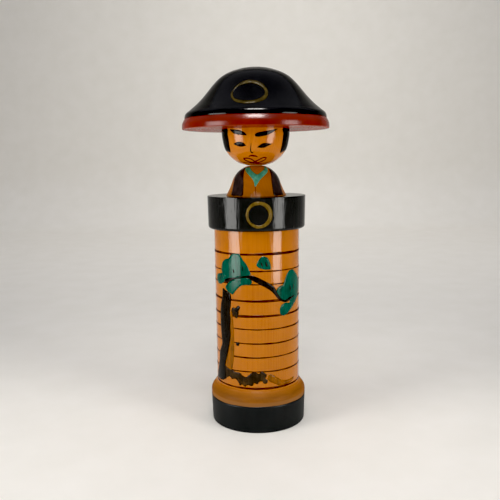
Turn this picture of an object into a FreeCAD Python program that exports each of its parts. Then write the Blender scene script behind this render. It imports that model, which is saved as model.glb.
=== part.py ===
import FreeCAD, Part
import math
import os

# A turned wooden kokeshi doll: a traveller in a wide lacquered hat whose bust stands on a lantern.
# Millimetres. +Z is up, the origin is the middle of the underside and the face looks along -Y.
# Every piece is turned on a lathe, so each one is a profile revolved about the Z axis.

V = FreeCAD.Vector
AXIS = V(0, 0, 1)

# Heights of the joints between the turned pieces, from the table up
LANTERN_TOP_Z = 128.6
COLLAR_TOP_Z = 149.6
TORSO_TOP_Z = 168.4
NECK_GAP = 0.4            # the head turns this far above the shoulders
BRIM_BOTTOM_Z = 191.6
BRIM_TOP_Z = 198.4
HAT_TOP_Z = 230.0

# Lantern body with its foot, one turning
FOOT_BOTTOM_R = 30.75
FOOT_R = 31.4
FOOT_BAND_Z = 19.6        # top of the upright part of the foot
FOOT_ROUND_R = 30.6       # where the rounded edge of the foot runs into the bevel
FOOT_ROUND_Z = 22.7
FOOT_ROUND_BULGE = 0.22
FOOT_TOP_Z = 27.2
BODY_BOTTOM_R = 27.35
BODY_TOP_R = 27.75
FOOT_EDGE = 0.9

# Collar, the upper rim of the lantern
COLLAR_BOTTOM_R = 31.4
COLLAR_TOP_R = 31.8
COLLAR_LOWER_EDGE = 1.9
COLLAR_UPPER_EDGE = 0.3

# Bust
TORSO_BOTTOM_R = 19.5
TORSO_ARM_R, TORSO_ARM_Z = 17.1, 154.3      # half way up the sleeves
TORSO_WAIST_R, TORSO_WAIST_Z = 15.5, 158.3  # where the sleeves flow into the shoulders
TORSO_SHOULDER_R, TORSO_SHOULDER_Z = 12.6, 163.6
TORSO_TOP_R = 5.2

# Head, a ball cut flat under the hat
HEAD_BOTTOM_R = 5.6
HEAD_R = 21.7
HEAD_CHIN_SLOPE = (1, 0.2)
HEAD_SHAPE = ((10.6, 170.15), (14.6, 172.75), (18.0, 176.2), (20.2, 180.6), (21.35, 186.2))

# Hat: a red brim disc with a black crown on it
BRIM_R = 47.0
BRIM_TAPER = 0.1          # the upright part of the edge leans in by this much
BRIM_UPRIGHT_Z = 194.6
BRIM_TOP_R = 45.0
BRIM_SHOULDER_BULGE = 0.2
BRIM_LOWER_EDGE = 0.6
CROWN_LIP_R = 45.3
CROWN_SHAPE = ((42.9, 202.6), (38.6, 206.2), (32.6, 212.3), (26.9, 219.1), (20.6, 224.85), (12.5, 228.35))
CROWN_LIP_TOP_R, CROWN_LIP_TOP_Z = 44.75, 200.9
CROWN_LIP_BULGE = 0.15
CROWN_FLARE_SLOPE = (-1, 0.86)

# Dowels. Glued dowels fill their sockets but for a film of glue, the neck dowel turns in the torso.
DOWEL_FIT = 0.05          # radial clearance
DOWEL_END_GAP = 0.3
DOWEL_CHAMFER = 0.6
TORSO_PEG_R = 5.0
TORSO_PEG_Z = (114.0, 155.6)
NECK_PEG_R = 4.0
NECK_PEG_Z = (158.6, 178.6)
HAT_PEG_R = 4.0
HAT_PEG_Z = (182.2, 210.0)


def line(a, b):
    return Part.LineSegment(V(a[0], 0, a[1]), V(b[0], 0, b[1])).toShape()


def arc(a, middle, b):
    return Part.Arc(*[V(r, 0, z) for r, z in (a, middle, b)]).toShape()


def quarter_round(start, corner, end):
    """A rounded edge between two points that lie equally far from the corner."""
    pull = 1 - math.sqrt(0.5)
    middle = [c + pull * (s + e - 2 * c) for s, e, c in zip(start, end, corner)]
    return arc(start, middle, end)


def curve(points, start_slope, end_slope):
    """A smooth curve through (radius, height) points that sets out and arrives in the given directions."""
    spline = Part.BSplineCurve()
    spline.interpolate([V(r, 0, z) for r, z in points],
                       InitialTangent=V(start_slope[0], 0, start_slope[1]),
                       FinalTangent=V(end_slope[0], 0, end_slope[1]))
    return spline.toShape()


def bulged(a, b, bulge):
    """A shallow arc from a to b whose middle stands out by bulge, away from the axis."""
    length = math.dist(a, b)
    outward = (abs(b[1] - a[1]) / length, abs(b[0] - a[0]) / length)
    middle = [0.5 * (a[i] + b[i]) + bulge * outward[i] for i in (0, 1)]
    return arc(a, middle, b)


def turned(edges):
    """The solid that a closed profile of edges makes when it is turned about the Z axis."""
    return Part.Face(Part.Wire(edges)).revolve(V(0, 0, 0), AXIS, 360)


def dowel(radius, ends):
    """A round peg with a chamfer on both ends."""
    low, high = ends
    peg = Part.makeCylinder(radius, high - low, V(0, 0, low))
    return peg.makeChamfer(DOWEL_CHAMFER, [e for e in peg.Edges if len(e.Vertexes) == 1])


def socket(radius, low, high):
    """The hole drilled for a dowel of this radius, from height low to height high."""
    return Part.makeCylinder(radius + DOWEL_FIT, high - low, V(0, 0, low))


def lantern_body():
    foot_side = (FOOT_BOTTOM_R, FOOT_EDGE)
    foot_under = (FOOT_BOTTOM_R - FOOT_EDGE, 0)
    band_top = (FOOT_R, FOOT_BAND_Z)
    bevel_start = (FOOT_ROUND_R, FOOT_ROUND_Z)
    body_start = (BODY_BOTTOM_R, FOOT_TOP_Z)
    body_end = (BODY_TOP_R, LANTERN_TOP_Z)
    solid = turned([
        line((0, 0), foot_under),
        quarter_round(foot_under, (FOOT_BOTTOM_R, 0), foot_side),
        line(foot_side, band_top),
        bulged(band_top, bevel_start, FOOT_ROUND_BULGE),
        line(bevel_start, body_start),
        line(body_start, body_end),
        line(body_end, (0, LANTERN_TOP_Z)),
        line((0, LANTERN_TOP_Z), (0, 0)),
    ])
    return solid.cut(socket(TORSO_PEG_R, TORSO_PEG_Z[0] - DOWEL_END_GAP, LANTERN_TOP_Z))


def lantern_collar():
    under = (COLLAR_BOTTOM_R - COLLAR_LOWER_EDGE, LANTERN_TOP_Z)
    side_low = (COLLAR_BOTTOM_R, LANTERN_TOP_Z + COLLAR_LOWER_EDGE)
    side_high = (COLLAR_TOP_R, COLLAR_TOP_Z - COLLAR_UPPER_EDGE)
    top = (COLLAR_TOP_R - COLLAR_UPPER_EDGE, COLLAR_TOP_Z)
    solid = turned([
        line((0, LANTERN_TOP_Z), under),
        quarter_round(under, (COLLAR_BOTTOM_R, LANTERN_TOP_Z), side_low),
        line(side_low, side_high),
        quarter_round(side_high, (COLLAR_TOP_R, COLLAR_TOP_Z), top),
        line(top, (0, COLLAR_TOP_Z)),
        line((0, COLLAR_TOP_Z), (0, LANTERN_TOP_Z)),
    ])
    return solid.cut(socket(TORSO_PEG_R, LANTERN_TOP_Z, COLLAR_TOP_Z))


def torso():
    hem = (TORSO_BOTTOM_R, COLLAR_TOP_Z)
    waist = (TORSO_WAIST_R, TORSO_WAIST_Z)
    top = (TORSO_TOP_R, TORSO_TOP_Z)
    solid = turned([
        line((0, COLLAR_TOP_Z), hem),
        arc(hem, (TORSO_ARM_R, TORSO_ARM_Z), waist),
        arc(waist, (TORSO_SHOULDER_R, TORSO_SHOULDER_Z), top),
        line(top, (0, TORSO_TOP_Z)),
        line((0, TORSO_TOP_Z), (0, COLLAR_TOP_Z)),
    ])
    lower = socket(TORSO_PEG_R, COLLAR_TOP_Z, TORSO_PEG_Z[1] + DOWEL_END_GAP)
    upper = socket(NECK_PEG_R, NECK_PEG_Z[0] - DOWEL_END_GAP, TORSO_TOP_Z)
    return solid.cut(lower).cut(upper)


def head():
    bottom_z = TORSO_TOP_Z + NECK_GAP
    chin = (HEAD_BOTTOM_R, bottom_z)
    temple = (HEAD_R, BRIM_BOTTOM_Z)
    solid = turned([
        line((0, bottom_z), chin),
        curve([chin, *HEAD_SHAPE, temple], HEAD_CHIN_SLOPE, (0, 1)),
        line(temple, (0, BRIM_BOTTOM_Z)),
        line((0, BRIM_BOTTOM_Z), (0, bottom_z)),
    ])
    lower = socket(NECK_PEG_R, bottom_z, NECK_PEG_Z[1] + DOWEL_END_GAP)
    upper = socket(HAT_PEG_R, HAT_PEG_Z[0] - DOWEL_END_GAP, BRIM_BOTTOM_Z)
    return solid.cut(lower).cut(upper)


def hat_brim():
    under = (BRIM_R - BRIM_LOWER_EDGE, BRIM_BOTTOM_Z)
    side_low = (BRIM_R, BRIM_BOTTOM_Z + BRIM_LOWER_EDGE)
    side_high = (BRIM_R - BRIM_TAPER, BRIM_UPRIGHT_Z)
    top = (BRIM_TOP_R, BRIM_TOP_Z)
    solid = turned([
        line((0, BRIM_BOTTOM_Z), under),
        quarter_round(under, (BRIM_R, BRIM_BOTTOM_Z), side_low),
        line(side_low, side_high),
        bulged(side_high, top, BRIM_SHOULDER_BULGE),
        line(top, (0, BRIM_TOP_Z)),
        line((0, BRIM_TOP_Z), (0, BRIM_BOTTOM_Z)),
    ])
    return solid.cut(socket(HAT_PEG_R, BRIM_BOTTOM_Z, BRIM_TOP_Z))


def hat_crown():
    lip = (CROWN_LIP_R, BRIM_TOP_Z)
    lip_top = (CROWN_LIP_TOP_R, CROWN_LIP_TOP_Z)
    flare_end = CROWN_SHAPE[0]
    solid = turned([
        line((0, BRIM_TOP_Z), lip),
        bulged(lip, lip_top, CROWN_LIP_BULGE),
        bulged(lip_top, flare_end, CROWN_LIP_BULGE),
        curve([*CROWN_SHAPE, (0, HAT_TOP_Z)], CROWN_FLARE_SLOPE, (-1, 0)),
        line((0, HAT_TOP_Z), (0, BRIM_TOP_Z)),
    ])
    return solid.cut(socket(HAT_PEG_R, BRIM_TOP_Z, HAT_PEG_Z[1] + DOWEL_END_GAP))


def doll():
    return {
        "lantern_body": lantern_body(),
        "lantern_collar": lantern_collar(),
        "torso": torso(),
        "torso_peg": dowel(TORSO_PEG_R, TORSO_PEG_Z),
        "neck_peg": dowel(NECK_PEG_R, NECK_PEG_Z),
        "head": head(),
        "hat_peg": dowel(HAT_PEG_R, HAT_PEG_Z),
        "hat_brim": hat_brim(),
        "hat_crown": hat_crown(),
    }


os.makedirs("parts", exist_ok=True)
for name, shape in doll().items():
    shape.exportStep(f"parts/{name}.step")
    print(name, "solids", len(shape.Solids), "valid", shape.isValid(),
          "volume", round(shape.Volume / 1000, 2), "cm3")
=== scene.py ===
"""Looks for the turned kokeshi doll: lacquered and varnished wood, with its painting as thin coats.

Lengths in the tables are millimetres. A painted point is (bearing, height): the bearing is in degrees
about the doll's axis, 0 at the front (-Y) and positive towards +X, and the height is above the table.
"""
import math

import bpy
import numpy as np
from mathutils import Matrix, Vector
from mathutils.geometry import delaunay_2d_cdt


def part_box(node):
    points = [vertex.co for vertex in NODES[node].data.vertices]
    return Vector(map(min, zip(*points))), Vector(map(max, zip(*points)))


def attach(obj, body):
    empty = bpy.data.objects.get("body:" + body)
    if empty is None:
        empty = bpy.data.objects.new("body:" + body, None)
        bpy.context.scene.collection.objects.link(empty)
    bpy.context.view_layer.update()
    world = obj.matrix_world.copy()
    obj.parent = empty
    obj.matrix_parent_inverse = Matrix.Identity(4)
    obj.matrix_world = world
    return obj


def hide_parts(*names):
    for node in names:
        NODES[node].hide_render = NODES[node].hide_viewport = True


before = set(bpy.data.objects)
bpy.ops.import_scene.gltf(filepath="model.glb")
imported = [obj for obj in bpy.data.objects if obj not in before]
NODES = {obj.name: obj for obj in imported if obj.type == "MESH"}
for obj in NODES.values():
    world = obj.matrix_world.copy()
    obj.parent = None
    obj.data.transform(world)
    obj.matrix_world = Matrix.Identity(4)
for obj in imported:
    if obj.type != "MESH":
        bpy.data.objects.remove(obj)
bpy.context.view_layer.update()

MM = 0.001                # metres in a millimetre
SEGMENTS = 192            # divisions of a turned piece round its axis
ROW_STEP = 0.9            # longest row of a turned piece
LONGEST_CURVE = 4.0       # a longer run between two outline points is straight
CORNER_TURN = 24.0        # a bend in an outline above this many degrees is a sharp corner
ON_AXIS = 1e-3            # a smaller radius is on the axis
LEVEL = 0.01              # heights nearer than this are the same
PAINT_SINK = 0.05         # how far a coat of paint reaches into the wood below it


# ---------------------------------------------------------------- outlines of the turned pieces

def cad_outline(node, pegs=()):
    """Outer outline of a turned CAD node, bottom to top, without the points of its peg holes."""
    seam = 1e-4           # points this near the half plane of y = 0 and x > 0 are on it
    points = set()
    for vertex in NODES[node].data.vertices:
        x, y, z = (c / MM for c in vertex.co)
        if abs(y) < seam and x > -seam:
            points.add((round(max(x, 0.0), 3), round(z, 3)))
    holes = [peg_hole(node, peg) for peg in pegs]
    outer = [p for p in points if not any(in_hole(p, h) for h in holes)]
    bottom = min(z for _, z in outer)
    return sorted(outer, key=lambda p: (p[1], p[0] if p[1] < bottom + LEVEL else -p[0]))


def peg_hole(node, peg):
    """(radius, low end, high end) of the hole that a peg has in a node, with its small clearances."""
    side_gap, end_gap = 0.05, 0.3
    low, high = (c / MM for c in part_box(peg))
    node_low, node_high = (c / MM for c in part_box(node))
    return (high.x + side_gap,
            max(low.z - end_gap, node_low.z), min(high.z + end_gap, node_high.z))


def in_hole(point, hole):
    """Whether an outline point is on the wall or the mouth of a peg hole, and not on the axis."""
    (r, z), (radius, low, high) = point, hole
    slack, off_axis = 0.02, 1.0
    return off_axis < r < radius + slack and low - slack < z < high + slack


def closed_outline(node, pegs=()):
    """(points, through): a node's outline with its peg holes.

    It runs from the axis back to the axis, or where a peg goes right through, round in a loop.
    """
    outer = cad_outline(node, pegs)
    bottom, top = outer[0][1], outer[-1][1]
    start, end = [(0.0, bottom)], [(0.0, top)]
    through = False
    for peg in pegs:
        radius, low, high = peg_hole(node, peg)
        if low <= bottom + LEVEL and high >= top - LEVEL:
            through = True
            start, end = [(radius, top), (radius, bottom)], [(radius, top)]
        elif low <= bottom + LEVEL:
            start = [(0.0, high), (radius, high), (radius, bottom)]
        else:
            end = [(radius, top), (radius, low), (0.0, low)]
    if outer[0][0] < ON_AXIS:
        outer = outer[1:]
    if outer[-1][0] < ON_AXIS:
        end = [(0.0, top)]
        outer = outer[:-1]
    return start + outer + end, through


def turn_between(a, b, c):
    """Degrees by which a path bends at b."""
    one, two = Vector((b[0] - a[0], b[1] - a[1])), Vector((c[0] - b[0], c[1] - b[1]))
    if one.length < 1e-6 or two.length < 1e-6:
        return 0.0
    return math.degrees(one.angle(two))


def spline(p0, p1, p2, p3, t):
    """A point between p1 and p2 on a Catmull-Rom curve."""
    p0, p1, p2, p3 = (np.array(p, float) for p in (p0, p1, p2, p3))
    return 0.5 * (2 * p1 + (p2 - p0) * t + (2 * p0 - 5 * p1 + 4 * p2 - p3) * t * t
                  + (3 * p1 - p0 - 3 * p2 + p3) * t ** 3)


def refined_outline(points):
    """(points, corner flags): the outline with rows no longer than ROW_STEP and smooth curves."""
    count = len(points)
    corner = [True] + [turn_between(*points[i - 1:i + 2]) > CORNER_TURN
                       for i in range(1, count - 1)] + [True]
    fine, sharp = [points[0]], [True]
    for i in range(count - 1):
        a, b = points[i], points[i + 1]
        before = a if corner[i] else points[i - 1]
        after = b if corner[i + 1] else points[i + 2]
        length = math.dist(a, b)
        steps = max(1, math.ceil(length / ROW_STEP))
        # next to a run more than three times as long, a curve would bulge
        ends_alike = all(math.dist(p, q) < 3 * length for p, q in ((before, a), (b, after)))
        for k in range(1, steps + 1):
            t = k / steps
            if length > LONGEST_CURVE or not ends_alike or k == steps:
                p = (a[0] + (b[0] - a[0]) * t, a[1] + (b[1] - a[1]) * t)
            else:
                p = tuple(spline(before, a, b, after, t))
            fine.append((max(p[0], 0.0), p[1]))
            sharp.append(k == steps and corner[i + 1])
    return fine, sharp


def turned(name, node, pegs, body, material):
    """A fine lathe mesh that stands for a turned CAD node."""
    points, through = closed_outline(node, pegs)
    points, sharp = refined_outline(points)
    if through:           # the loop's last point is its first again
        points, sharp = points[:-1], sharp[:-1]
    verts, rows = [], []
    for r, z in points:
        if r < ON_AXIS:
            rows.append([len(verts)] * SEGMENTS)
            verts.append((0.0, 0.0, z * MM))
        else:
            first = len(verts)
            rows.append(list(range(first, first + SEGMENTS)))
            for j in range(SEGMENTS):
                angle = 2 * math.pi * j / SEGMENTS
                verts.append((r * MM * math.cos(angle), r * MM * math.sin(angle), z * MM))
    faces, uvs = [], []
    run = np.concatenate([[0], np.cumsum([math.dist(points[i], points[i + 1])
                                          for i in range(len(points) - 1)])])
    run = run / (run[-1] + 1.0)       # the last of it is left for a loop's closing row
    pairs = [(i, i + 1) for i in range(len(rows) - 1)] + ([(len(rows) - 1, 0)] if through else [])
    for low, high in pairs:
        for j in range(SEGMENTS):
            k = (j + 1) % SEGMENTS
            ring = [rows[low][j], rows[low][k], rows[high][k], rows[high][j]]
            u0, u1 = j / SEGMENTS, (j + 1) / SEGMENTS
            v1 = run[high] if high else 1.0
            place = [(u0, run[low]), (u1, run[low]), (u1, v1), (u0, v1)]
            keep = [m for m in range(4) if ring[m] != ring[m - 1]]
            if len(keep) > 2:
                faces.append([ring[m] for m in keep])
                uvs.extend(place[m] for m in keep)
    mesh = bpy.data.meshes.new(name)
    mesh.from_pydata(verts, [], faces)
    layer = mesh.uv_layers.new(name="UVMap")
    for loop, uv in zip(layer.data, uvs):
        loop.uv = uv
    mesh.polygons.foreach_set("use_smooth", [True] * len(faces))
    row_of = {index: number for number, row in enumerate(rows) for index in row}
    for edge in mesh.edges:
        a, b = edge.vertices
        edge.use_edge_sharp = row_of[a] == row_of[b] and sharp[row_of[a]]
    mesh.materials.append(material)
    piece = bpy.data.objects.new(name, mesh)
    bpy.context.scene.collection.objects.link(piece)
    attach(piece, body)
    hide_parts(node)


class Surface:
    """The outer surface of a turned node, which paint lies on."""

    def __init__(self, node, pegs=()):
        outline = cad_outline(node, pegs)
        floor = outline[0][1] + LEVEL
        # of a flat underside only the rim is kept
        outline = [p for p, after in zip(outline, outline[1:] + [(0.0, math.inf)])
                   if p[1] >= floor or after[1] >= floor]
        self.z = np.array([p[1] for p in outline])
        self.r = np.array([p[0] for p in outline])
        self.widest = float(self.r.max())

    def place(self, bearing, height, lift):
        """The point at a bearing in degrees and a height, moved off the surface by lift, in metres."""
        reach = 0.4       # the slope is taken over this height up and down
        r = float(np.interp(height, self.z, self.r))
        r0, r1 = (float(np.interp(height + d, self.z, self.r)) for d in (-reach, reach))
        along = Vector((r1 - r0, 2 * reach)).normalized()
        r, z = r + lift * along.y, height - lift * along.x
        angle = math.radians(bearing)
        return (r * MM * math.sin(angle), -r * MM * math.cos(angle), z * MM)


# ---------------------------------------------------------------- coats of paint

def smooth_loop(points, step):
    """A closed curve through the points, with a point about every step."""
    count, fine = len(points), []
    for i in range(count):
        p0, p1, p2, p3 = (points[(i + k) % count] for k in (-1, 0, 1, 2))
        steps = max(1, round(math.dist(p1, p2) / step))
        fine.extend(tuple(spline(p0, p1, p2, p3, k / steps)) for k in range(steps))
    return fine


def smooth_path(points, step):
    """An open curve through rows of numbers, the first two of each being its place."""
    fine = []
    for i in range(len(points) - 1):
        before = points[max(i - 1, 0)]
        after = points[min(i + 2, len(points) - 1)]
        steps = max(1, round(math.dist(points[i][:2], points[i + 1][:2]) / step))
        fine.extend(spline(before, points[i], points[i + 1], after, k / steps) for k in range(steps))
    fine.append(np.array(points[-1], float))
    return fine


def wobble(position, seed):
    """A small steady unevenness, as a brush leaves, from -1 to 1."""
    return (math.sin(position * 1.7 + seed * 2.1) + 0.6 * math.sin(position * 4.3 + seed * 5.7)
            + 0.4 * math.sin(position * 9.1 + seed)) / 2.0


def inside(point, loop):
    """Whether a point is inside a closed loop of points."""
    x, y = point
    odd = False
    for (x0, y0), (x1, y1) in zip(loop, loop[1:] + loop[:1]):
        if (y0 > y) != (y1 > y) and x < x0 + (y - y0) * (x1 - x0) / (y1 - y0):
            odd = not odd
    return odd


def near_loop(point, loop, gap):
    """Whether a point is within a gap of any point of a loop."""
    return any((point[0] - x) ** 2 + (point[1] - y) ** 2 < gap * gap for x, y in loop)


def loop_faces(count, wide):
    """Faces of a closed loop of rows, with count rows and wide points in each."""
    faces = []
    for i in range(count):
        for k in range(wide - 1):
            a, b = i * wide + k, (i + 1) % count * wide + k
            faces.append([a, b, b + 1, a + 1])
    return faces


class Coat:
    """Paint on one surface, gathered from brush shapes, then closed into one thin shell.

    The shapes are drawn flat: across is the bearing times a scale, in millimetres, up is the height.
    """

    def __init__(self, surface, lift):
        self.surface, self.lift = surface, lift
        self.flat, self.faces = [], []
        self.scale = math.radians(1) * surface.widest

    def add(self, points, faces):
        """Adds flat points, and faces that count from the first of them."""
        first = len(self.flat)
        self.flat.extend(points)
        self.faces.extend([first + i for i in face] for face in faces)

    def to_flat(self, points):
        """Rows of (bearing, height, ...) with the bearing turned into millimetres across."""
        return [(p[0] * self.scale, p[1]) + tuple(p[2:]) for p in points]

    def patch(self, outline, grid=1.3, step=0.7, rough=0.07, seed=0):
        """A filled brush shape with a closed outline."""
        loop = smooth_loop(self.to_flat(outline), step)
        centre = np.mean(np.array(loop), axis=0)
        loop = [tuple(centre + (np.array(p) - centre)
                      * (1 + rough * wobble(i * step, seed) / max(math.dist(p, centre), 1)))
                for i, p in enumerate(loop)]
        low, high = np.min(np.array(loop), axis=0), np.max(np.array(loop), axis=0)
        fill = [(x, y) for x in np.arange(low[0] + grid / 2, high[0], grid)
                for y in np.arange(low[1] + grid / 2, high[1], grid)
                if inside((x, y), loop) and not near_loop((x, y), loop, 0.45 * grid)]
        count = len(loop)
        edges = [(i, (i + 1) % count) for i in range(count)]
        points = [Vector(p) for p in loop + fill]
        only_inside, nearest = 1, 1e-4
        verts, _, faces, *_ = delaunay_2d_cdt(points, edges, [], only_inside, nearest)
        faces = [list(f) for f in faces]
        for face in faces:
            a, b, c = (verts[i] for i in face[:3])
            if (b - a).cross(c - a) < 0:
                face.reverse()
        self.add([tuple(v) for v in verts], faces)

    def stroke(self, path, step=0.6, across=2, rough=0.04, seed=0):
        """A brush stroke along rows of (bearing, height, width)."""
        line = smooth_path(self.to_flat(path), step)
        points, faces, width = [], [], across + 1
        finest = 0.03     # the least half width
        for i, row in enumerate(line):
            ahead, behind = line[min(i + 1, len(line) - 1)], line[max(i - 1, 0)]
            along = Vector((ahead[0] - behind[0], ahead[1] - behind[1])).normalized()
            side = Vector((along.y, -along.x))
            half = max(0.5 * row[2] + rough * wobble(i * step, seed), finest)
            drift = rough * wobble(i * step * 0.8, seed + 3)
            for k in range(width):
                offset = half * (2 * k / across - 1) + drift
                points.append((row[0] + side.x * offset, row[1] + side.y * offset))
        for i in range(len(line) - 1):
            for k in range(across):
                a = i * width + k
                faces.append([a, a + 1, a + 1 + width, a + width])
        self.add(points, faces)

    def band(self, height, width, seed=0, rough=0.05, sway=0.12, count=240):
        """A line drawn right round the surface."""
        points, turn = [], 360.0 * self.scale
        for i in range(count):
            angle = 2 * math.pi * i / count
            middle = height + sway * (math.sin(2 * angle + seed) + 0.5 * math.sin(5 * angle + 2 * seed))
            half = 0.5 * width * (1 + 0.18 * math.sin(3 * angle + seed * 1.3)) \
                + rough * math.sin(17 * angle + seed)
            points.extend((turn * i / count, middle + half * k) for k in (-1, 0, 1))
        self.add(points, loop_faces(count, 3))

    def ring(self, bearing, height, size, width, count=96, seed=0):
        """A brushed ring: size is its (degrees wide, height) to the middle of the line."""
        points, faces = [], []
        middle, wide = bearing * self.scale, size[0] * self.scale
        for i in range(count):
            angle = 2 * math.pi * i / count
            half = 0.5 * width * (1 + 0.16 * wobble(3 * angle, seed) - 0.25 * math.cos(angle - 3.4))
            for k in (-1, 0, 1):
                points.append((middle + (0.5 * wide + k * half) * math.cos(angle),
                               height + (0.5 * size[1] + k * half) * math.sin(angle)))
        for i in range(count):
            j = (i + 1) % count
            for k in (0, 1):
                faces.append([i * 3 + k, i * 3 + k + 1, j * 3 + k + 1, j * 3 + k])
        self.add(points, faces)

    def finish(self, name, body, material):
        """Closes the coat into a shell: outer face, inner face and the rim between them."""
        count = len(self.flat)
        place = self.surface.place
        verts = [place(x / self.scale, z, self.lift) for x, z in self.flat]
        verts += [place(x / self.scale, z, -PAINT_SINK) for x, z in self.flat]
        directed = {(f[i - 1], f[i]) for f in self.faces for i in range(len(f))}
        rim = sorted(e for e in directed if (e[1], e[0]) not in directed)
        faces = list(self.faces)
        faces += [[count + i for i in reversed(f)] for f in self.faces]
        faces += [[b, a, count + a, count + b] for a, b in rim]
        mesh = bpy.data.meshes.new(name)
        mesh.from_pydata(verts, [], faces)
        smooth = [True] * (2 * len(self.faces)) + [False] * len(rim)
        mesh.polygons.foreach_set("use_smooth", smooth)
        layer = mesh.uv_layers.new(name="UVMap")
        low, high = np.min(np.array(self.flat), 0), np.max(np.array(self.flat), 0)
        for loop, uv in zip(mesh.loops, layer.data):
            x, z = self.flat[loop.vertex_index % count]
            uv.uv = ((x - low[0]) / (high[0] - low[0]), (z - low[1]) / (high[1] - low[1]))
        mesh.materials.append(material)
        piece = bpy.data.objects.new(name, mesh)
        bpy.context.scene.collection.objects.link(piece)
        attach(piece, body)


# ---------------------------------------------------------------- materials

class Shader:
    """A node material in the doll's own coordinates."""

    def __init__(self, name):
        self.material = bpy.data.materials.new(name)
        self.material.use_nodes = True
        self.tree = self.material.node_tree
        self.surface = self.tree.nodes["Principled BSDF"]
        self.coords = self.tree.nodes.new("ShaderNodeTexCoord").outputs["Object"]

    def node(self, kind, inputs=None, **settings):
        """A new node, with links or values on its inputs."""
        made = self.tree.nodes.new(kind)
        for key, value in settings.items():
            setattr(made, key, value)
        for key, value in (inputs or {}).items():
            if isinstance(value, bpy.types.NodeSocket):
                self.tree.links.new(value, made.inputs[key])
            else:
                made.inputs[key].default_value = value
        return made

    def noise(self, scale, detail=4.0, roughness=0.55, shift=(0, 0, 0)):
        """Noise with its own number of cells a metre along x, y and z."""
        place = self.node("ShaderNodeMapping", {"Vector": self.coords, "Scale": scale,
                                                "Location": shift})
        made = self.node("ShaderNodeTexNoise", {"Vector": place.outputs[0], "Scale": 1.0,
                                                "Detail": detail, "Roughness": roughness})
        return made.outputs["Fac"]

    def height(self):
        """The height above the table, in metres, at rest."""
        return self.node("ShaderNodeSeparateXYZ", {0: self.coords}).outputs["Z"]

    def spread(self, value, low, high, out_low=0.0, out_high=1.0):
        """The value's range from low to high, stretched to run from out_low to out_high."""
        made = self.node("ShaderNodeMapRange", {"Value": value, "From Min": low, "From Max": high,
                                                "To Min": out_low, "To Max": out_high})
        return made.outputs["Result"]

    def math(self, operation, a, b=0.0):
        """The result of one arithmetic operation."""
        return self.node("ShaderNodeMath", {0: a, 1: b}, operation=operation).outputs[0]

    def blend(self, amount, a, b):
        """Colour a turned into colour b by an amount from 0 to 1."""
        made = self.node("ShaderNodeMix", data_type="RGBA", blend_type="MIX")
        for index, value in ((0, amount), (6, a), (7, b)):
            if isinstance(value, bpy.types.NodeSocket):
                self.tree.links.new(value, made.inputs[index])
            else:
                made.inputs[index].default_value = value
        return made.outputs[2]

    def ramp(self, value, stops):
        """A colour read off a row of (position, colour) stops."""
        made = self.node("ShaderNodeValToRGB", {"Fac": value})
        elements = made.color_ramp.elements
        for i, (position, colour) in enumerate(stops):
            element = elements[i] if i < 2 else elements.new(position)
            element.position, element.color = position, colour
        return made.outputs["Color"]

    def bump(self, height, distance, strength=1.0):
        """A relief as deep as distance, in metres."""
        made = self.node("ShaderNodeBump", {"Height": height, "Distance": distance,
                                            "Strength": strength})
        return made.outputs["Normal"]

    def set(self, **values):
        """Values or links on the surface's own sockets, with _ for a space."""
        for key, value in values.items():
            socket = self.surface.inputs[key.replace("_", " ")]
            if isinstance(value, bpy.types.NodeSocket):
                self.tree.links.new(value, socket)
            else:
                socket.default_value = value
        return self.material


def rgb(r, g, b):
    """A colour from 8-bit screen values."""
    def linear(c):
        c = c / 255
        return c / 12.92 if c <= 0.04045 else ((c + 0.055) / 1.055) ** 2.4
    return (linear(r), linear(g), linear(b), 1.0)


VARNISH_IOR = 1.42
LACQUER_IOR = 1.45
PITH = (0.055, 0.09, 0.0)       # from the centre of the tree's rings to the doll's axis, in metres
AMBER = rgb(190, 114, 22)
AMBER_PALE = rgb(206, 126, 24)
AMBER_DARK = rgb(168, 92, 8)
AMBER_STAIN = rgb(116, 74, 36)
AMBER_WORN = rgb(142, 97, 52)
# the pale tan of a painted highlight along the foot's rounded lip
AMBER_LIP_HIGHLIGHT = rgb(130, 92, 58)
PAPER, PAPER_DARK = rgb(245, 242, 236), rgb(241, 238, 231)

# heights on the shoulder of the foot, in metres above the table: (where it starts, where it is full)
RUBBED = (0.0275, 0.0255)
# where the hollow of the shoulder is made darker
DARKENING_ABOVE = (0.0262, 0.0220)
DARKENING_BELOW = (0.0194, 0.0205)
# where the painted highlight lies along the foot's rounded lip
LIP_HIGHLIGHT = (0.0207, 0.0196)


def wood_colour(shader, pale, middle, dark):
    """(colour, fibres): rings about an off-centre pith, fine upright fibres and short dark pores."""
    place = shader.node("ShaderNodeMapping", {"Vector": shader.coords, "Location": PITH,
                                              "Scale": (1.0, 1.0, 0.06)})
    rings = shader.node("ShaderNodeTexWave", {"Vector": place.outputs[0], "Scale": 190.0,
                                              "Distortion": 3.0, "Detail": 3.0,
                                              "Detail Scale": 1.4, "Detail Roughness": 0.6},
                        wave_type="RINGS", rings_direction="Z", wave_profile="SAW").outputs["Fac"]
    fibres = shader.noise((1900, 1900, 42), detail=5.0, roughness=0.6)
    drift = shader.noise((60, 60, 22), detail=3.0, shift=(0.3, 0.1, 0.7))
    level = shader.math("ADD", shader.math("MULTIPLY", rings, 0.14),
                        shader.math("MULTIPLY", fibres, 0.38))
    level = shader.math("ADD", level, shader.math("MULTIPLY", drift, 0.45))
    colour = shader.ramp(level, [(0.14, dark), (0.86, pale), (0.49, middle)])
    pores = shader.spread(shader.noise((1500, 1500, 260), detail=2.0, shift=(2, 5, 1)), 0.70, 0.78)
    return shader.blend(shader.math("MULTIPLY", pores, 0.45), colour, dark), fibres


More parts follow.
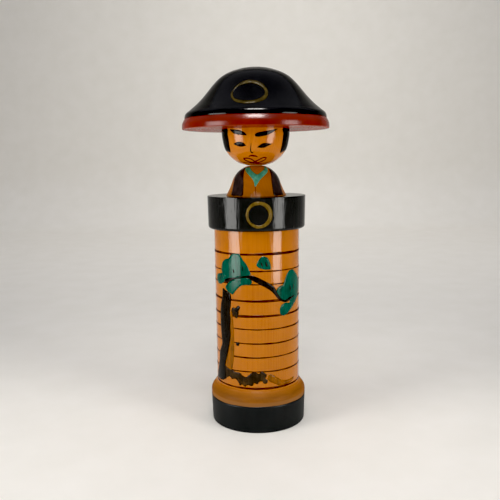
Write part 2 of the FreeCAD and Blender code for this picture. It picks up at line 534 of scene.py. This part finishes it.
def shoulder_colour(shader, colour, height, rubbed):
    """The wood on the foot's shoulder: duller all over, darker in its hollow, and with a painted highlight
    in pale tan on its lip.
    """
    # mottled darkening in the hollow of the shoulder, in the stain's colour
    darkening = shader.spread(shader.noise((60, 60, 420), detail=5.0, roughness=0.65),
                          0.30, 0.70, 0.45, 1.0)
    hollow = shader.math("MULTIPLY", shader.spread(height, *DARKENING_ABOVE, 0.30, 1.0),
                         shader.spread(height, *DARKENING_BELOW))
    darkening = shader.math("MULTIPLY", shader.math("MULTIPLY", darkening, hollow), rubbed)
    colour = shader.blend(shader.math("MULTIPLY", rubbed, 0.40), colour, AMBER_WORN)
    colour = shader.blend(darkening, colour, AMBER_STAIN)
    # a painted highlight along the rounded lip, in pale tan
    return shader.blend(shader.spread(height, *LIP_HIGHLIGHT, 0.0, 0.85), colour, AMBER_LIP_HIGHLIGHT)


def varnish_relief(shader):
    """The faint upright brush marks in a coat of varnish."""
    return shader.bump(shader.noise((760, 760, 40), detail=2.0, roughness=0.5), 0.00012)


def amber_wood(name, tone, dull=0.0):
    """Honey-coloured turned wood under a varnish; the tone scales its colour, lower for painted shade and
    higher for painted light.
    """
    shader = Shader(name)
    pale, middle, dark = (tuple(c * tone for c in shade[:3]) + (1.0,)
                          for shade in (AMBER_PALE, AMBER, AMBER_DARK))
    colour, fibres = wood_colour(shader, pale, middle, dark)
    # dirt and darker varnish gathered in broad soft patches
    stain = shader.spread(shader.noise((45, 45, 70), detail=5.0, shift=(4, 1, 3)), 0.52, 0.78)
    colour = shader.blend(shader.math("MULTIPLY", stain, 0.28), colour, AMBER_STAIN)
    # the shoulder of the foot is rubbed: its varnish is thin and rough
    height = shader.height()
    rubbed = shader.spread(height, *RUBBED)
    colour = shoulder_colour(shader, colour, height, rubbed)
    worn = shader.spread(shader.noise((420, 420, 300), detail=6.0), 0.40, 0.75, 0.06, 0.13)
    worn = shader.math("ADD", shader.math("ADD", worn, dull), shader.math("MULTIPLY", rubbed, 0.30))
    varnished = shader.math("SUBTRACT", 1.0 - 2 * dull, shader.math("MULTIPLY", rubbed, 0.88))
    return shader.set(Base_Color=colour, Roughness=0.5, Normal=shader.bump(fibres, 0.00006, 0.45),
                      Specular_IOR_Level=0.0, Coat_Weight=varnished, Coat_Roughness=worn,
                      Coat_IOR=VARNISH_IOR, Coat_Normal=varnish_relief(shader))


def lacquer(name, colour, tint, gloss=(0.02, 0.06), coat=0.62, grain=0.0001, under=None):
    """Brushed lacquer with the wood's upright grain and some pits showing through.

    under is (height, colour, coat) for a flat underside with a thinner, duller coat and a lighter colour
    that is painted light from the pale table below it.
    """
    shader = Shader(name)
    fibres = shader.noise((980, 980, 46), detail=2.0, roughness=0.5)
    pits = shader.spread(shader.noise((700, 700, 330), detail=2.0, shift=(3, 2, 1)), 0.67, 0.74)
    clouds = shader.noise((70, 70, 50), detail=4.0)
    base = shader.blend(shader.spread(clouds, 0.35, 0.7, 0.0, 0.8), colour, tint)
    rough = shader.spread(shader.math("ADD", shader.math("MULTIPLY", fibres, 0.7),
                                      shader.math("MULTIPLY", clouds, 0.3)),
                          0.35, 0.65, gloss[0], gloss[1])
    if under is not None:
        bottom, underside_painted_light, thin_coat = under
        height = shader.height()
        low, high = bottom + 0.1 * MM, bottom + 0.4 * MM
        # the underside's lighter red is painted light from the pale table below it; its thinner coat is
        # the lacquer's own
        base = shader.blend(shader.spread(height, low, high, 1.0, 0.0), base, underside_painted_light)
        coat = shader.spread(height, low, high, thin_coat, coat)
    relief = shader.math("SUBTRACT", fibres, shader.math("MULTIPLY", pits, 0.35))
    normal = shader.bump(relief, grain)
    return shader.set(Base_Color=base, Roughness=0.5, Normal=normal, Specular_IOR_Level=0.0,
                      Coat_Weight=coat, Coat_Roughness=rough, Coat_IOR=LACQUER_IOR,
                      Coat_Normal=normal)


def dowel_wood():
    """Plain pale wood of the pegs, unvarnished."""
    shader = Shader("dowel_wood")
    colour, fibres = wood_colour(shader, rgb(214, 180, 130), rgb(196, 156, 104), rgb(150, 108, 62))
    return shader.set(Base_Color=colour, Roughness=0.62, Normal=shader.bump(fibres, 0.0001, 0.5),
                      Specular_IOR_Level=0.3)


def brush_paint(name, colour, light, dark, coat=0.6, gloss=0.12, fade=None, streak=(900, 900, 60)):
    """Paint laid on with a brush, uneven in depth, under the same varnish as the wood.

    fade is (colour underneath, (where it starts, where it is bare), noise scale) for worn paint.
    """
    shader = Shader(name)
    streaks = shader.noise(streak, detail=4.0, roughness=0.6)
    pools = shader.noise((230, 230, 180), detail=3.0, shift=(1, 2, 3))
    base = shader.ramp(shader.math("ADD", shader.math("MULTIPLY", streaks, 0.45),
                                   shader.math("MULTIPLY", pools, 0.55)),
                       [(0.34, dark), (0.66, light), (0.50, colour)])
    if fade is not None:
        under, amount, size = fade
        bare = shader.spread(shader.noise(size, detail=6.0, roughness=0.7, shift=(5, 4, 2)),
                             amount[0], amount[1])
        base = shader.blend(bare, base, under)
    return shader.set(Base_Color=base, Roughness=0.5, Normal=shader.bump(streaks, 0.00008, 0.5),
                      Specular_IOR_Level=0.0, Coat_Weight=coat, Coat_Roughness=gloss,
                      Coat_IOR=VARNISH_IOR, Coat_Normal=varnish_relief(shader))


wood = amber_wood("amber_wood", 0.77)
# the torso's lower tone is painted shade, for the hat's shadow on it; the head's higher tone is painted
# light, so that the face under the brim shows as bright as the body
torso_wood_painted_shade = amber_wood("amber_wood_torso_painted_shade", 0.61, dull=0.22)
head_wood_painted_light = amber_wood("amber_wood_head_painted_light", 0.94)
black = lacquer("black_lacquer", rgb(23, 24, 23), rgb(31, 31, 31))
# the lighter red given for the brim's underside is painted light from the pale table below it
red = lacquer("red_lacquer", rgb(112, 31, 15), rgb(92, 25, 13), gloss=(0.14, 0.24), coat=0.66,
              grain=0.00003, under=(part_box("hat_brim")[0].z, rgb(146, 54, 32), 0.46))
hat_black = lacquer("black_lacquer_hat", rgb(14, 14, 14), rgb(22, 22, 24), gloss=(0.10, 0.17),
                    coat=0.5, grain=0.00002)
foot_black = lacquer("black_lacquer_foot", rgb(29, 31, 32), rgb(35, 37, 38), gloss=(0.29, 0.31),
                     coat=0.35, grain=0.000003)
dowel = dowel_wood()
green = brush_paint("green_paint", rgb(4, 74, 58), rgb(8, 88, 70), rgb(3, 52, 38))
teal = brush_paint("teal_paint", rgb(66, 128, 106), rgb(92, 154, 132), rgb(62, 100, 66), coat=0.4,
                   streak=(500, 500, 300))
ink = brush_paint("black_paint", rgb(24, 21, 18), rgb(36, 31, 27), rgb(15, 14, 13), coat=0.42)
hair_black = brush_paint("hair_paint", rgb(22, 20, 18), rgb(32, 29, 26), rgb(14, 13, 13), coat=0.3)
maroon = brush_paint("coat_paint", rgb(48, 40, 39), rgb(62, 48, 46), rgb(38, 34, 33), coat=0.4)
brown = brush_paint("rib_paint", rgb(66, 26, 6), rgb(98, 46, 10), rgb(44, 16, 5), coat=0.2,
                    streak=(240, 240, 240))
fine_brown = brush_paint("fine_line_paint", rgb(92, 22, 10), rgb(114, 30, 13), rgb(72, 17, 9),
                         coat=0.3)
gold = brush_paint("gold_paint", rgb(100, 80, 34), rgb(118, 96, 44), rgb(74, 58, 26), coat=0.3,
                   streak=(1300, 1300, 260))
worn_gold = brush_paint("worn_gold_paint", rgb(75, 63, 30), rgb(90, 76, 39), rgb(55, 46, 24),
                        coat=0.4, fade=(rgb(26, 24, 20), (0.46, 0.74), (150, 150, 150)))
smear = brush_paint("smear_paint", rgb(48, 38, 28), rgb(72, 56, 36), rgb(32, 27, 22), coat=0.3,
                    fade=(rgb(104, 66, 18), (0.58, 0.78), (260, 260, 190)))
wash = brush_paint("wash_paint", rgb(116, 72, 12), rgb(134, 82, 12), rgb(80, 52, 14), coat=0.6,
                   fade=(rgb(150, 88, 10), (0.42, 0.64), (520, 520, 60)))

for peg in ("torso_peg", "neck_peg", "hat_peg"):
    NODES[peg].data.materials.clear()
    NODES[peg].data.materials.append(dowel)

# ---------------------------------------------------------------- turned pieces

turned("lantern_body_turned", "lantern_body", ["torso_peg"], "lantern", wood)
turned("lantern_collar_turned", "lantern_collar", ["torso_peg"], "lantern", black)
turned("torso_turned", "torso", ["torso_peg", "neck_peg"], "lantern", torso_wood_painted_shade)
turned("head_turned", "head", ["neck_peg", "hat_peg"], "head", head_wood_painted_light)
turned("hat_brim_turned", "hat_brim", ["hat_peg"], "head", red)
turned("hat_crown_turned", "hat_crown", ["hat_peg"], "head", hat_black)

body = Surface("lantern_body", ["torso_peg"])
collar = Surface("lantern_collar", ["torso_peg"])
torso = Surface("torso", ["torso_peg", "neck_peg"])
head = Surface("head", ["neck_peg", "hat_peg"])
crown = Surface("hat_crown", ["hat_peg"])

# how far each coat stands proud of the wood, so that where two cross one hides the other
LINE_LIFT, WASH_LIFT, GREEN_LIFT, INK_LIFT = 0.03, 0.045, 0.055, 0.085
RETOUCH = 0.02            # what strokes laid over another coat add to their own lift


# ---------------------------------------------------------------- the lantern's painting

def paint_foot():
    """Black lacquer round the foot, from the table to just under its rounded edge."""
    top, edge_top, count = 17.7, 1.2, 240
    coat = Coat(body, 0.04)
    rows = [0.08, 0.16, 0.28, 0.42, 0.6, 0.85]
    rows += [edge_top + (top - edge_top) * k / 12 for k in range(13)]
    turn = 360.0 * coat.scale
    points = []
    for i in range(count):
        angle = 2 * math.pi * i / count
        edge = 0.10 * math.sin(3 * angle + 1) + 0.06 * math.sin(11 * angle)
        points.extend((turn * i / count, z + (edge if z == top else 0.0)) for z in rows)
    coat.add(points, loop_faces(count, len(rows)))
    coat.finish("foot_band", "lantern", foot_black)


def paint_ribs():
    """The paper lantern's ribs: ten brown lines round the body, some strong and some faint."""
    strong, faint = 1.45, 0.85
    ribs = [(114.4, strong), (103.7, faint), (95.5, faint), (85.0, strong), (75.2, strong),
            (66.7, faint), (57.6, faint), (48.6, faint), (39.3, faint), (28.3, 1.3)]
    coat = Coat(body, LINE_LIFT)
    for number, (height, width) in enumerate(ribs):
        coat.band(height, width, seed=number * 1.7, sway=0.10 if number < 9 else 0.04)
    coat.finish("lantern_ribs", "lantern", brown)


def paint_foliage():
    """The pine's green pads: three at the left, a small one by itself, one hanging at the right."""
    coat = Coat(body, GREEN_LIFT)
    coat.patch([(-55, 103.1), (-53.5, 107.5), (-47.5, 110.3), (-41, 111.2), (-36, 113.8), (-29, 114.8),
                (-23, 113.9), (-19, 111.0), (-14, 108.0), (-10.5, 104.2), (-9, 101.8), (-16, 100.8),
                (-26, 99.6), (-35, 97.4), (-45, 96.2), (-51, 98.6)], seed=1)
    coat.patch([(-66.5, 99.8), (-59, 100.8), (-50, 101.4), (-45, 99.4), (-48, 96.6), (-53, 94.9),
                (-59, 93.8), (-66, 94.5), (-69.5, 97.2)], seed=2)
    coat.patch([(-47.5, 92.5), (-43, 95.4), (-36, 97.4), (-29, 99.0), (-21, 99.8), (-14, 99.8),
                (-8.6, 98.8), (-7.2, 96.6), (-10.5, 95.2), (-16, 95.2), (-23, 94.3), (-29, 91.6),
                (-34.5, 88.6), (-39, 89.2), (-44, 90.2)], seed=3)
    coat.patch([(-1.5, 107.9), (0.5, 110.2), (4, 112.5), (8, 113.2), (13, 112.2), (16.4, 109.2),
                (17.2, 105.2), (13, 104.8), (7, 105.1), (1, 106.3)], seed=4)
    coat.patch([(50, 103.2), (45, 102.4), (40.5, 99.8), (37, 96.2), (34.5, 94.2), (30, 93.8), (26.6, 92.4),
                (24.6, 89.8), (26.4, 87.0), (32, 84.6), (41, 83.9), (47, 83.4), (46.4, 82.0), (40, 82.6),
                (33.6, 81.8), (30.2, 79.2), (30.6, 76.2), (34.6, 74.6), (40, 74.8), (47, 76.6), (54, 79.2),
                (61, 81.6), (67, 83.6), (74, 87.0), (79, 91.0), (76, 95.0), (68, 98.2), (60, 101.2),
                (55.5, 102.9)], seed=5)
    coat.finish("foliage", "lantern", green)


def paint_leaf_strokes():
    """Short dark strokes on the leaves, and the dark hollow between two of them."""
    coat = Coat(body, INK_LIFT + RETOUCH)
    coat.stroke([(4.4, 109.6, 0.4), (5.4, 108.2, 1.1), (6.4, 106.8, 0.5)], seed=1)
    coat.stroke([(10.6, 109.6, 0.6), (11.5, 108.0, 1.5), (12.6, 106.6, 0.6)], seed=2)
    coat.stroke([(47.5, 93.0, 0.5), (48.6, 91.0, 1.3), (47.6, 89.2, 0.4)], seed=3)
    coat.stroke([(55.5, 93.6, 0.4), (56.2, 92.0, 1.1), (55.2, 90.2, 0.3)], seed=4)
    coat.stroke([(-33.5, 104.6, 0.4), (-32.4, 103.4, 1.2), (-31.8, 102.2, 0.4)], seed=7)
    coat.stroke([(-20.5, 107.6, 0.3), (-19.6, 105.6, 0.9), (-19.8, 103.8, 0.3)], seed=8)
    coat.stroke([(-49, 96.8, 1.0), (-42, 97.4, 2.6), (-35, 98.4, 1.8), (-29, 99.2, 0.6)], seed=5)
    coat.stroke([(40, 84.0, 0.6), (46, 84.6, 1.6), (53, 85.4, 1.0), (60, 85.8, 0.3)], seed=6)
    coat.finish("leaf_strokes", "lantern", ink)


def paint_tree():
    """The pine's trunk, its one long branch and two stubs, in black ink."""
    coat = Coat(body, INK_LIFT)
    coat.patch([(-53.5, 91.4), (-54.5, 86), (-58.5, 80.3), (-60, 74.7), (-60, 66.6), (-58.6, 60.2),
                (-57.6, 54.5), (-64.5, 48.9), (-66, 44.1), (-71.5, 37.1), (-77, 30.4), (-66, 29.6),
                (-55, 30.6), (-50, 33.7), (-50.5, 38.5), (-50, 42.5), (-46, 47.8), (-43, 52.7),
                (-41, 57), (-39, 61.8), (-39.6, 67.5), (-38.8, 72), (-39.5, 77), (-38, 81.7),
                (-37.2, 86), (-38.8, 88.8), (-43, 89.8), (-48, 90.8), (-52, 91.6)], rough=0.1, seed=7)
    coat.stroke([(-29, 99.0, 0.5), (-22, 99.9, 0.9), (-14, 100.4, 1.5), (-8, 99.9, 3.0), (0, 98.2, 3.5),
                 (8, 96.1, 3.6), (15, 94.1, 3.6), (20, 92.2, 3.4), (24, 89.6, 2.6), (28.5, 86.6, 1.9),
                 (34, 84.4, 1.5), (41, 83.5, 1.2), (50, 84.4, 0.5)], across=4, seed=8)
    coat.stroke([(-30.6, 56.9, 1.9), (-27.8, 56.9, 2.5), (-25.9, 57.9, 1.0)], seed=9)
    coat.stroke([(-30.5, 77.6, 1.2), (-27.6, 79.6, 3.0), (-24.6, 81.4, 1.7)], seed=10)
    coat.finish("pine_trunk", "lantern", ink)


def paint_smears():
    """Thin dark ink at the roots, a smudged knot beside the trunk, and two thin brown washes."""
    coat = Coat(body, WASH_LIFT + RETOUCH)
    coat.patch([(-60, 43.0), (-54, 42.0), (-48, 40.2), (-42, 39.3), (-36, 39.0), (-31, 38.0), (-27, 38.4),
                (-22, 36.8), (-17, 35.8), (-13, 37.2), (-9, 38.9), (-4, 39.3), (0, 38.2), (4, 39.4),
                (8, 38.8), (10.8, 36.8), (9.4, 34.8), (12.4, 33.6), (11.4, 31.9), (7.4, 31.6),
                (4.4, 33.2), (0.8, 32.6), (-2, 31.4), (-6, 31.9), (-9, 30.0), (-14, 30.6), (-18, 29.4),
                (-23, 30.4), (-26, 29.8), (-29, 32.4), (-34, 33.6), (-38, 32.8), (-42, 34.2),
                (-47, 33.2), (-52, 31.4), (-58, 32.2), (-62, 37.0)],
               grid=1.1, step=0.5, rough=0.35, seed=11)
    coat.patch([(-36, 79.8), (-31, 80.2), (-27.0, 79.4), (-26.0, 76.6), (-28.5, 73.6), (-33.0, 74.4),
                (-37.0, 77.2)], grid=0.9, step=0.5, seed=12)
    coat.finish("root_smear", "lantern", smear)

    coat = Coat(body, WASH_LIFT)
    coat.patch([(11.5, 35.0), (14.5, 37.2), (19, 37.0), (25, 35.0), (31, 33.0), (38, 31.9), (48, 31.6),
                (56, 32.2), (57.4, 30.8), (48, 29.2), (40, 29.0), (33, 28.9), (27, 29.6), (20, 31.4),
                (14.6, 33.0)], rough=0.25, seed=13)
    coat.patch([(-41, 77), (-37.5, 78), (-34.5, 70), (-33.5, 60), (-34, 50), (-36, 43), (-39, 39.0),
                (-46, 39.2), (-50, 42), (-45, 50), (-42, 58), (-42, 67)], seed=14)
    coat.finish("bark_wash", "lantern", wash)


def paint_crests():
    """A plain gold ring on the collar and a thinner one on the hat."""
    coat = Coat(collar, 0.05)
    coat.ring(2.0, 139.0, (26.2, 14.3), 1.95, seed=2)
    coat.finish("collar_ring", "lantern", gold)
    coat = Coat(crown, 0.05)
    coat.ring(-7.0, 211.7, (35.5, 13.0), 1.8, seed=2)
    coat.finish("hat_ring", "head", worn_gold)


# ---------------------------------------------------------------- the figure's painting

def paint_face():
    """Brows, eyes and nose in ink, with tapering strokes."""
    coat = Coat(head, 0.06)
    coat.stroke([(-47.5, 191.0, 0.5), (-41, 189.9, 2.0), (-33, 189.2, 2.7), (-26, 188.7, 2.6),
                 (-20, 188.0, 1.9), (-15.5, 187.1, 0.4)], across=4, rough=0.02, seed=1)
    coat.stroke([(-1.8, 187.0, 1.3), (3, 187.3, 2.6), (9, 187.7, 2.8), (16, 188.2, 2.7), (23, 188.9, 2.1),
                 (30, 189.8, 1.3), (37.5, 190.9, 0.3)], across=4, rough=0.02, seed=2)
    coat.stroke([(-42, 182.1, 0.2), (-36, 182.0, 2.1), (-29, 181.8, 2.9), (-23, 181.5, 2.4),
                 (-17.5, 180.8, 0.2)], across=4, rough=0.02, seed=3)
    coat.stroke([(2.0, 179.7, 0.2), (8, 180.4, 2.1), (14, 180.9, 2.9), (20, 181.3, 1.9),
                 (27.5, 181.7, 0.2)], across=4, rough=0.02, seed=4)
    coat.stroke([(-8.5, 182.5, 0.2), (-9.3, 180.2, 0.45), (-10.3, 178.1, 0.7), (-9.7, 177.0, 0.85),
                 (-7.6, 176.5, 0.65), (-5.4, 177.1, 0.25)], step=0.4, rough=0.01, seed=5)
    coat.finish("brows_eyes_nose", "head", ink)


def paint_mouth_and_bow():
    """The small mouth, the hat's chin cord and its bow, in fine red-brown lines."""
    coat = Coat(head, 0.05)
    coat.stroke([(-16.4, 174.2, 0.4), (-12, 174.8, 0.8), (-5.5, 174.7, 1.0), (0, 174.4, 0.8),
                 (3.8, 173.8, 0.3)], step=0.4, rough=0.01, seed=1)
    line, knot, cord = 0.8, 1.15, 0.4
    coat.stroke([(-4, 171.0, knot), (-9, 172.1, line), (-17, 173.1, line), (-26, 173.3, line),
                 (-32.5, 172.8, knot)], step=0.5, rough=0.015, seed=2)
    coat.stroke([(-32.5, 172.8, knot), (-28, 171.9, line), (-20, 171.0, line), (-11, 170.4, line),
                 (-4, 171.0, knot)], step=0.5, rough=0.015, seed=3)
    coat.stroke([(-4, 171.0, knot), (5, 172.0, line), (13, 173.1, line), (20, 173.6, line),
                 (25.5, 173.0, knot)], step=0.5, rough=0.015, seed=4)
    coat.stroke([(25.5, 173.0, knot), (22, 172.0, line), (14, 171.0, line), (5, 170.4, line),
                 (-4, 171.0, knot)], step=0.5, rough=0.015, seed=5)
    coat.stroke([(-56, 171.4, 0.2), (-46, 170.8, cord), (-33, 170.5, cord), (-18, 170.2, cord),
                 (-5, 170.0, 0.5), (10, 169.9, cord), (26, 170.1, cord), (42, 170.5, cord),
                 (61, 171.6, 0.2)], step=0.6, rough=0.015, seed=6)
    coat.finish("mouth_and_chin_cord", "head", fine_brown)


def paint_hair():
    """Black bobbed hair, from beside the face right round the back of the head."""
    coat = Coat(head, 0.07)
    left = 360.0
    coat.patch([(50.9, 191.5), (51.4, 188.5), (51.9, 184.5), (52.0, 180.8), (53.2, 178.2), (56.0, 176.5),
                (62, 176.7), (70, 177.4), (80, 178.2), (95, 178.8), (115, 179.2), (140, 179.4),
                (180, 179.4), (220, 179.4), (245, 179.2), (left - 95, 178.8), (left - 82, 178.3),
                (left - 72, 177.7), (left - 66, 177.3), (left - 60.6, 177.0), (left - 56, 178.2),
                (left - 54.4, 180.6), (left - 53.2, 184.5), (left - 53.8, 188.5), (left - 54.8, 191.5),
                (left - 80, 191.55), (left - 130, 191.55), (180, 191.55), (130, 191.55), (80, 191.55)],
               grid=1.3, step=0.9, rough=0.0, seed=1)
    coat.finish("hair", "head", hair_black)


def paint_dress():
    """The open coat's two dark bands, the teal under-collar and the line down the front."""
    coat = Coat(torso, 0.05)
    coat.patch([(-50, 167.0), (-43, 165.4), (-36, 162.2), (-31, 158.0), (-28.4, 154.0), (-27, 150.1),
                (-40, 149.9), (-56, 150.1), (-60.5, 153), (-65, 156.4), (-71, 159.8), (-79, 162.4),
                (-86, 164.2), (-84, 166.2), (-68, 167.3)], grid=1.1, rough=0.02, seed=1)
    coat.patch([(60, 167.0), (50, 165.0), (43, 162.4), (38.5, 158.8), (36, 154.6), (34.4, 150.1),
                (48, 149.9), (62, 150.1), (66, 152.6), (71, 155.4), (76, 158.0), (83, 161.4),
                (90, 164.2), (86, 166.4), (72, 167.3)], grid=1.1, rough=0.02, seed=2)
    coat.finish("coat_bands", "lantern", maroon)

    coat = Coat(torso, 0.075)
    coat.patch([(-53, 167.4), (-40, 165.6), (-25, 163.4), (-12, 160.9), (-6, 158.4), (-3, 155.5),
                (3, 157.6), (10, 160.0), (21, 162.2), (35, 164.2), (48, 166.2), (55, 167.6),
                (43, 167.4), (30, 166.2), (16, 164.7), (3, 163.2), (-8, 164.4), (-20, 166.2),
                (-33, 167.5)], grid=0.9, step=0.6, rough=0.02, seed=3)
    coat.finish("under_collar", "lantern", teal)

    coat = Coat(torso, 0.04)
    coat.stroke([(-3, 156.4, 0.3), (-2.2, 154, 0.4), (-1.2, 150.0, 0.35)], rough=0.01, seed=5)
    coat.finish("front_seam", "lantern", fine_brown)


paint_foot()
paint_ribs()
paint_foliage()
paint_leaf_strokes()
paint_tree()
paint_smears()
paint_crests()
paint_face()
paint_mouth_and_bow()
paint_hair()
paint_dress()


# ---------------------------------------------------------------- floor and backdrop

def backdrop():
    """A pale seamless sheet, in metres: the table, and a wall it curves up into."""
    front, bend, radius, top, half = -1.6, 1.15, 0.16, 1.7, 2.6
    line = [(front + (bend - front) * k / 12, 0.0) for k in range(13)]
    line += [(bend + radius * math.sin(a), radius - radius * math.cos(a))
             for a in (math.pi / 2 * k / 14 for k in range(1, 15))]
    line += [(bend + radius, radius + (top - radius) * k / 8) for k in range(1, 9)]
    across = 16
    verts = [(-half + 2 * half * i / across, y, z) for y, z in line for i in range(across + 1)]
    wide = across + 1
    faces = [[r * wide + i, r * wide + i + 1, (r + 1) * wide + i + 1, (r + 1) * wide + i]
             for r in range(len(line) - 1) for i in range(across)]
    mesh = bpy.data.meshes.new("backdrop")
    mesh.from_pydata(verts, [], faces)
    mesh.polygons.foreach_set("use_smooth", [True] * len(faces))
    shader = Shader("backdrop_paper")
    fleck = shader.noise((26, 26, 26), detail=6.0)
    base = shader.ramp(fleck, [(0.3, PAPER_DARK), (0.7, PAPER)])
    mesh.materials.append(shader.set(Base_Color=base, Roughness=0.75, Specular_IOR_Level=0.15,
                                     Normal=shader.bump(shader.noise((900, 900, 900)), 0.0001, 0.15)))
    sheet = bpy.data.objects.new("backdrop", mesh)
    bpy.context.scene.collection.objects.link(sheet)


backdrop()


# ---------------------------------------------------------------- light

LIGHT_COLOUR = (1.0, 0.985, 0.95)


def softbox(name, place, target, size, strength, spread=180.0, diffuse=True, glossy=True):
    """A rectangular light; strength is its brightness, 1 being white paper in full light."""
    light = bpy.data.lights.new(name, "AREA")
    light.shape, light.size, light.size_y = "RECTANGLE", size[0], size[1]
    light.energy = strength * math.pi * size[0] * size[1]
    light.color = LIGHT_COLOUR
    light.spread = math.radians(spread)
    holder = bpy.data.objects.new(name, light)
    holder.visible_camera = False
    holder.visible_diffuse, holder.visible_glossy = diffuse, glossy
    place, target = Vector(place), Vector(target)
    back = (place - target).normalized()
    side = Vector((0, 0, 1)).cross(back).normalized()
    turn = Matrix((side, back.cross(side), back)).transposed().to_4x4()
    holder.matrix_world = Matrix.Translation(place) @ turn
    bpy.context.scene.collection.objects.link(holder)


def strip(name, bearing, away, width, height, strength):
    """A tall softbox facing the axis, as two lights, one for its mirror image and one for its light.

    The first stands on the table. The second hangs clear of it, because the light of a panel that
    touches the table ends there in a hard line.
    """
    angle = math.radians(bearing)
    x, y = away * math.sin(angle), -away * math.cos(angle)
    for part, low, bright, shine in (("shine", 0.0, 1.0, True),
                                     ("light", STRIP_LIFT, STRIP_GAIN, False)):
        middle = low + height / 2
        softbox(f"{name}_{part}", (x, y, middle), (0, 0, middle), (width, height),
                strength * bright, spread=110.0, diffuse=not shine, glossy=shine)


def room(horizon, overhead, high):
    """The dim room around: one tone at the horizon, another from a height of high (1 is overhead)."""
    world = bpy.data.worlds.new("room")
    bpy.context.scene.world = world
    world.use_nodes = True
    tree = world.node_tree
    direction = tree.nodes.new("ShaderNodeTexCoord")
    split = tree.nodes.new("ShaderNodeSeparateXYZ")
    tones = tree.nodes.new("ShaderNodeValToRGB")
    tree.links.new(direction.outputs["Generated"], split.inputs[0])
    tree.links.new(split.outputs["Z"], tones.inputs["Fac"])
    tree.links.new(tones.outputs["Color"], tree.nodes["Background"].inputs["Color"])
    for element, place, tone in zip(tones.color_ramp.elements, (0.0, high), (horizon, overhead)):
        element.position, element.color = place, tone


STRIP_AWAY, STRIP_HEIGHT, STRIP_STRENGTH = 0.50, 0.32, 3.3
STRIP_LIFT = 0.04         # how far the strips' light hangs above the table
STRIP_GAIN = 1.14         # what their light gains, to make up for that
FIGURE = (0, 0, 0.2)      # where the front lights point

strip("left_strip", -61.0, STRIP_AWAY, 0.255, STRIP_HEIGHT, STRIP_STRENGTH)
strip("right_strip", 52.5, STRIP_AWAY, 0.20, STRIP_HEIGHT, STRIP_STRENGTH)
softbox("front_lamp", (0.01, -0.46, 0.92), FIGURE, (0.30, 0.20), 12.0)
softbox("hat_shine", (-0.015, -0.415, 0.92), FIGURE, (0.28, 0.30), 26.0, diffuse=False)
softbox("wall_light", (0.08, 0.22, 1.20), (0.08, 1.3, 0.28), (0.5, 0.4), 3.8,
        spread=100.0, glossy=False)
room(horizon=(0.02, 0.02, 0.021, 1), overhead=(0.54, 0.54, 0.57, 1), high=0.9)

# ---------------------------------------------------------------- how the picture is developed

BLACK_POINT = 0.018       # the camera records anything darker as black
scene = bpy.context.scene
scene.view_settings.view_transform = "Standard"
scene.view_settings.look = "None"
scene.view_settings.exposure = 0.0
scene.view_settings.gamma = 1.0
scene.view_settings.use_curve_mapping = True
scene.view_settings.curve_mapping.black_level = (BLACK_POINT,) * 3

# ---------------------------------------------------------------- camera

CAMERA_PLACE = (-0.0045, -0.412, 0.1706)    # metres
CAMERA_PITCH = 7.894      # degrees down
CAMERA_ROLL = -0.674      # degrees
CAMERA_LENS = 45.47       # millimetres
SENSOR_WIDTH = 36.0       # millimetres

lens = bpy.data.cameras.new("camera")
lens.sensor_width = SENSOR_WIDTH
lens.lens = CAMERA_LENS
lens.clip_start, lens.clip_end = 0.01, 20.0
camera = bpy.data.objects.new("camera", lens)
camera.matrix_world = (Matrix.Translation(CAMERA_PLACE)
                       @ Matrix.Rotation(math.radians(90 - CAMERA_PITCH), 4, "X")
                       @ Matrix.Rotation(math.radians(CAMERA_ROLL), 4, "Z"))
scene.collection.objects.link(camera)
scene.camera = camera
